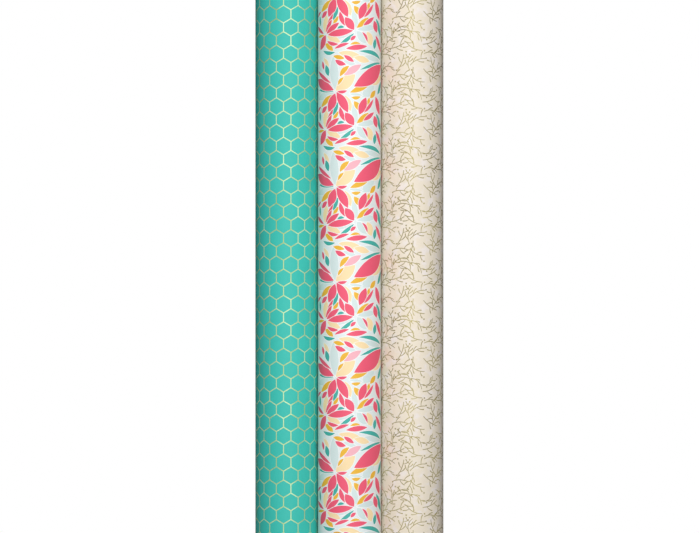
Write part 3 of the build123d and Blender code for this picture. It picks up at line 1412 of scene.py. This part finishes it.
@dataclass
class LooseTail:
    """The last stretch of the sheet, drawn as strips along the spiral in place of the CAD tail's panels.

    Attributes:
        roll: The roll's name.
        spiral: The line of the sheet's outside.
        printed: The printed side's material.
        reverse: The back's material.
        slot: The record's slot of the printed side; not used.
        panels: Panels of the CAD tail.
        columns: Faces across half a panel.
    """

    roll: str
    spiral: SheetSpiral
    printed: Any
    reverse: Any
    slot: str
    panels: int = 5
    columns: int = 10

    def strip(self, number: int, start: float, end: float) -> bpy.types.Object:
        """Makes one strip of the tail.

        Args:
            number: The strip's number, from the roll to the free edge.
            start: Angle of its first edge.
            end: Angle of its last edge.

        Returns:
            The strip's object, which rides on nothing yet.
        """
        low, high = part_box(f"{self.roll}_tail_panel_1")
        count = self.columns * (2 if 0 < number < self.panels else 1)
        shape = patch(self.spiral, (start, end), (low.z, high.z), count, 6)
        piece = finished(f"{self.roll}_tail_strip_{number + 1}", shape, [self.printed, self.reverse])
        thicken(piece, self.spiral.thickness, 1)
        return piece

    def build(self) -> list[bpy.types.Object]:
        """Makes the tail in place of its CAD panels.

        Returns:
            The tail's strips.
        """
        spiral = self.spiral
        panel = (spiral.edge - spiral.tail_start) / self.panels
        edges = [spiral.tail_start + panel * (i + 0.5) for i in range(self.panels)]
        edges = [spiral.tail_start, *edges, spiral.edge]
        bodies = [f"{self.roll}_roll"] + [f"{self.roll}_tail_{i + 1}" for i in range(self.panels)]
        middle = (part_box(f"{self.roll}_tail_panel_1")[0].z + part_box(f"{self.roll}_tail_panel_1")[1].z) / 2
        strips = []
        for number, (start, end) in enumerate(zip(edges, edges[1:])):
            piece = self.strip(number, start, end)
            if number < self.panels:
                first, last = spiral.point(start, middle), spiral.point(end, middle)
                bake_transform(piece)
                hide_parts(f"{self.roll}_tail_panel_{number + 1}")
            else:
                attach(piece, bodies[number])
            strips.append(piece)
        return strips


@dataclass
class TapeTabs:
    """The clear tabs that hold the free edge: each one strip of film, cut on a toothed blade.

    Attributes:
        roll: The roll's name.
        spiral: The line of the sheet's outside.
        film: The film's material.
        width: The film's width.
        thickness: The film's thickness, in metres.
        lift: Adhesive under the film.
        air: What is left under the film where it has come down to the roll.
        hold: Length stuck to the tail.
        reach: Length past the free edge.
        descent: Length over which the film comes down from the free edge to the roll.
        lead: Length before the free edge; the point worked out from it is not used.
        fold: Length past the free edge; the point worked out from it is not used.
        segments: Faces along a tab.
        teeth: Teeth across a cut end.
        tooth: Depth of a tooth.
    """

    roll: str
    spiral: SheetSpiral
    film: Any
    width: float = 19 * MM
    thickness: float = 0.05 * MM
    lift: float = 0.02 * MM
    air: float = 0.05 * MM
    hold: float = 7 * MM
    reach: float = 6 * MM
    descent: float = 2.2 * MM
    lead: float = 0.2 * MM
    fold: float = 1.6 * MM
    segments: int = 26
    teeth: int = 15
    tooth: float = 0.55 * MM

    def out(self, angle: float) -> float:
        """Measures how far the film's outside stands out from the sheet's, carried past its free edge.

        Args:
            angle: Angle round the roll.

        Returns:
            The distance, which falls below zero where the film has come down to the roll.
        """
        past = min(1.0, max(0.0, (angle - self.spiral.edge) * self.spiral.wound / self.descent))
        eased = past * past * (3 - 2 * past)
        grown = self.spiral.radius(angle) - self.spiral.radius(self.spiral.edge)
        down = self.spiral.rise - self.air
        return self.lift + self.thickness - eased * down - max(0.0, grown)

    def build(self) -> bpy.types.Object:
        """Makes the film of the three tabs in place of its CAD nodes.

        Returns:
            The film's object.
        """
        spiral = self.spiral
        start = spiral.edge - self.hold / spiral.wound
        end = spiral.edge + self.reach / spiral.wound
        low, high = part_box(f"{self.roll}_tape_anchors")
        middles = (low.z + self.width / 2, (low.z + high.z) / 2, high.z - self.width / 2)
        shape = bmesh.new()
        for middle in middles:
            self.tab(shape, (start, end), (middle - self.width / 2, middle + self.width / 2))
        film = finished(f"{self.roll}_tape_tabs", shape, [self.film])
        thicken(film, self.thickness, 0)
        before = spiral.point(spiral.edge - self.lead / spiral.wound, middles[1])
        after = spiral.point(spiral.edge + self.fold / spiral.wound, middles[1])
        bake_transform(film)
        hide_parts(f"{self.roll}_tape_anchors", f"{self.roll}_tape_flaps")
        return film

    def tab(self, shape: Any, angles: Point, heights: Point) -> None:
        """Adds one tab to the mesh.

        Args:
            shape: The mesh that takes it.
            angles: Angles of its cut ends.
            heights: Its lowest and highest height.
        """
        rows = 2 * self.teeth
        made = bmesh.ops.create_grid(shape, x_segments=self.segments, y_segments=rows, size=0.5)["verts"]
        for vert in made:
            across, up = vert.co.x + 0.5, vert.co.y + 0.5
            notch = round(up * rows) % 2 * self.tooth / self.spiral.wound
            first, last = angles[0] + notch, angles[1] - notch
            angle = first + across * (last - first)
            vert.co = self.spiral.point(angle, heights[0] + up * (heights[1] - heights[0]), self.out(angle))


# ---------------------------------------------------------------- the whole


class RollKind(Enum):
    """The three rolls, from left to right."""

    HEXAGON = "hexagon"
    LEAF = "leaf"
    SPRIG = "sprig"


@dataclass
class GiftWrapRoll:
    """One roll of gift wrap: core, glue, wound sheet, tail and tape.

    Attributes:
        kind: Which roll it is.
        ink: The print's main ink, which shows between the turns at the ends.
        artwork: Makes the print, from the radius of the roll that it lies on.
        foil: The foil of the print, or None.
        thickness: Thickness of the sheet, in metres.
    """

    kind: RollKind
    ink: str
    artwork: Callable[[float], Any]
    foil: FoilStamp | None = None
    thickness: float = 0.1 * MM

    def build(self) -> None:
        """Makes every piece of the roll and reports it."""
        roll = self.kind.value
        spiral = SheetSpiral.of_roll(roll, self.thickness)
        slot = f"{roll}_print"
        printed = CoatedGiftWrap(f"{roll}_gift_wrap", self.artwork(spiral.wound / MM), self.foil).build()
        reverse = BarePaper(f"{roll}_paper_reverse").build()
        stacked = StackedEdge(f"{roll}_stacked_turns", self.ink, spiral.centre).build()
        board = SpiralBoard(f"{roll}_core_board", spiral.centre).build()
        film = ClearTape(f"{roll}_clear_tape").build()
        glue = frame["nodes"][f"{roll}_core_glue"]
        glue.data.materials.clear()
        glue.data.materials.append(DriedGlue(f"{roll}_dried_glue").build())
        pieces = [CoreTube(roll, spiral, board).build(), glue]
        pieces.append(WoundSheet(roll, spiral, printed, stacked, slot).build())
        pieces += LooseTail(roll, spiral, printed, reverse, slot).build()
        pieces.append(TapeTabs(roll, spiral, film).build())
        for piece in pieces:
            LOG.info("%s: %d faces", piece.name, len(piece.data.polygons))


@dataclass(frozen=True)
class StudioLight:
    """One soft rectangular light that points at the middle of the set.

    Attributes:
        name: The light's name.
        azimuth_deg: Where it stands, from straight in front, turning to the right.
        elevation_deg: How far above the middle it stands, as an angle.
        distance: How far away, in metres.
        size: Its width and height, in metres.
        power: Its power, in watts.
        shines: Whether glossy surfaces mirror it.
    """

    name: str
    azimuth_deg: float
    elevation_deg: float
    distance: float
    size: Point
    power: float
    shines: bool = True

    def build(self, middle: Vector) -> None:
        """Makes the light.

        Args:
            middle: The point that it faces.
        """
        lamp = bpy.data.lights.new(self.name, "AREA")
        lamp.shape = "RECTANGLE"
        lamp.size, lamp.size_y = self.size
        lamp.energy = self.power
        made = bpy.data.objects.new(self.name, lamp)
        turn, lift = radians(self.azimuth_deg), radians(self.elevation_deg)
        away = Vector((sin(turn) * cos(lift), -cos(turn) * cos(lift), sin(lift)))
        made.location = middle + away * self.distance
        made.rotation_euler = away.to_track_quat("Z", "Y").to_euler()
        made.visible_camera = False
        made.visible_glossy = self.shines
        bpy.context.scene.collection.objects.link(made)


@dataclass
class Studio:
    """The floor, the lights and the camera round the set.

    Attributes:
        distance: From the camera to the set, in metres.
        share: The set's share of the picture's width.
        floor: Half the floor's width, in metres.
        ambient: Brightness of the pale room.
        lights: The lights, of which the first is the key light.
    """

    distance: float = 3.0
    share: float = 0.2692
    floor: float = 1.5
    ambient: float = 0.025
    lights: tuple[StudioLight, ...] = (
        StudioLight("key_light", 2, 4, 2.5, (0.95, 1.6), 65),
        StudioLight("left_back_light", -167, 12, 2.5, (0.6, 1.6), 27, False),
        StudioLight("right_back_light", 167, 12, 2.5, (0.6, 1.6), 27, False),
        StudioLight("top_light", 0, 88, 2.2, (1.2, 1.2), 45),
    )

    def build(self) -> None:
        """Makes the floor, the lights, the camera and the pale room."""
        low, high = CAD_BOX
        middle = (low + high) / 2
        shape = bmesh.new()
        bmesh.ops.create_grid(shape, x_segments=1, y_segments=1, size=self.floor)
        floor = finished("studio_floor", shape, [PalePaintedFloor("pale_painted_floor").build()])
        floor.visible_diffuse = False  # so that its brightness doesn't flatten the rolls' shading
        for light in self.lights:
            light.build(middle)
        lens = bpy.data.cameras.new("camera")
        lens.sensor_width = 36.0
        lens.lens = lens.sensor_width * self.distance * self.share / (high.x - low.x)
        lens.clip_start, lens.clip_end = 0.1, 50.0
        camera = bpy.data.objects.new("camera", lens)
        camera.location = (middle.x, middle.y - self.distance, middle.z)
        camera.rotation_euler = (pi / 2, 0, 0)
        bpy.context.scene.collection.objects.link(camera)
        bpy.context.scene.camera = camera
        self.room()

    def room(self) -> None:
        """Makes the world: white where it is seen, and a dim even light otherwise."""
        world = bpy.data.worlds.new("pale_room")
        world.use_nodes = True
        bpy.context.scene.world = world
        graph = Graph(world.node_tree)
        seen = graph.add("LightPath", output="Is Camera Ray")
        colours = {0: seen, 6: (self.ambient,) * 3 + (1.0,), 7: (1.0, 1.0, 1.0, 1.0)}
        colour = graph.add("Mix", colours, 2, data_type="RGBA")
        graph.join(world.node_tree.nodes["Background"], {"Color": colour})
        bpy.context.scene.view_settings.view_transform = "Standard"


ROLLS = (
    GiftWrapRoll(
        RollKind.HEXAGON, "#46C2B5",
        lambda radius: HoneycombPrint(
            ink="#3DBFB2", pitch_mm=11.04, row_mm=9.9, line_mm=0.7, centre_mm=(3.6, 422.0)
        ),
        # the foil's two colours are a painted highlight and a painted shade
        FoilStamp(bright="#C4E0AE", painted_shade="#A3B877"),
    ),
    GiftWrapRoll(
        RollKind.LEAF, "#F2607B",
        lambda radius: LeafPrint(
            ground="#E9F2F3", leaves=LEAVES, tile_mm=(70.0, 71.4), gap_mm=0.4, zero_mm=440.35,
            radius_mm=radius
        ),
    ),
    GiftWrapRoll(
        RollKind.SPRIG, "#EFE4D5",
        lambda radius: SprigPrint(
            ink="#EADFCD", tile_mm=(49.6, 43.5), columns=6, rows=4, stem_mm=13.0, line_mm=0.29, seed=11
        ),
        # the foil's two colours are a painted highlight and a painted shade
        FoilStamp(bright="#B5A973", painted_shade="#8F845A"),
    ),
)


def main() -> None:
    """Builds the studio and the rolls."""
    logging.basicConfig(level=logging.INFO)
    Studio().build()
    for roll in ROLLS:
        roll.build()


if __name__ == "__main__":
    main()
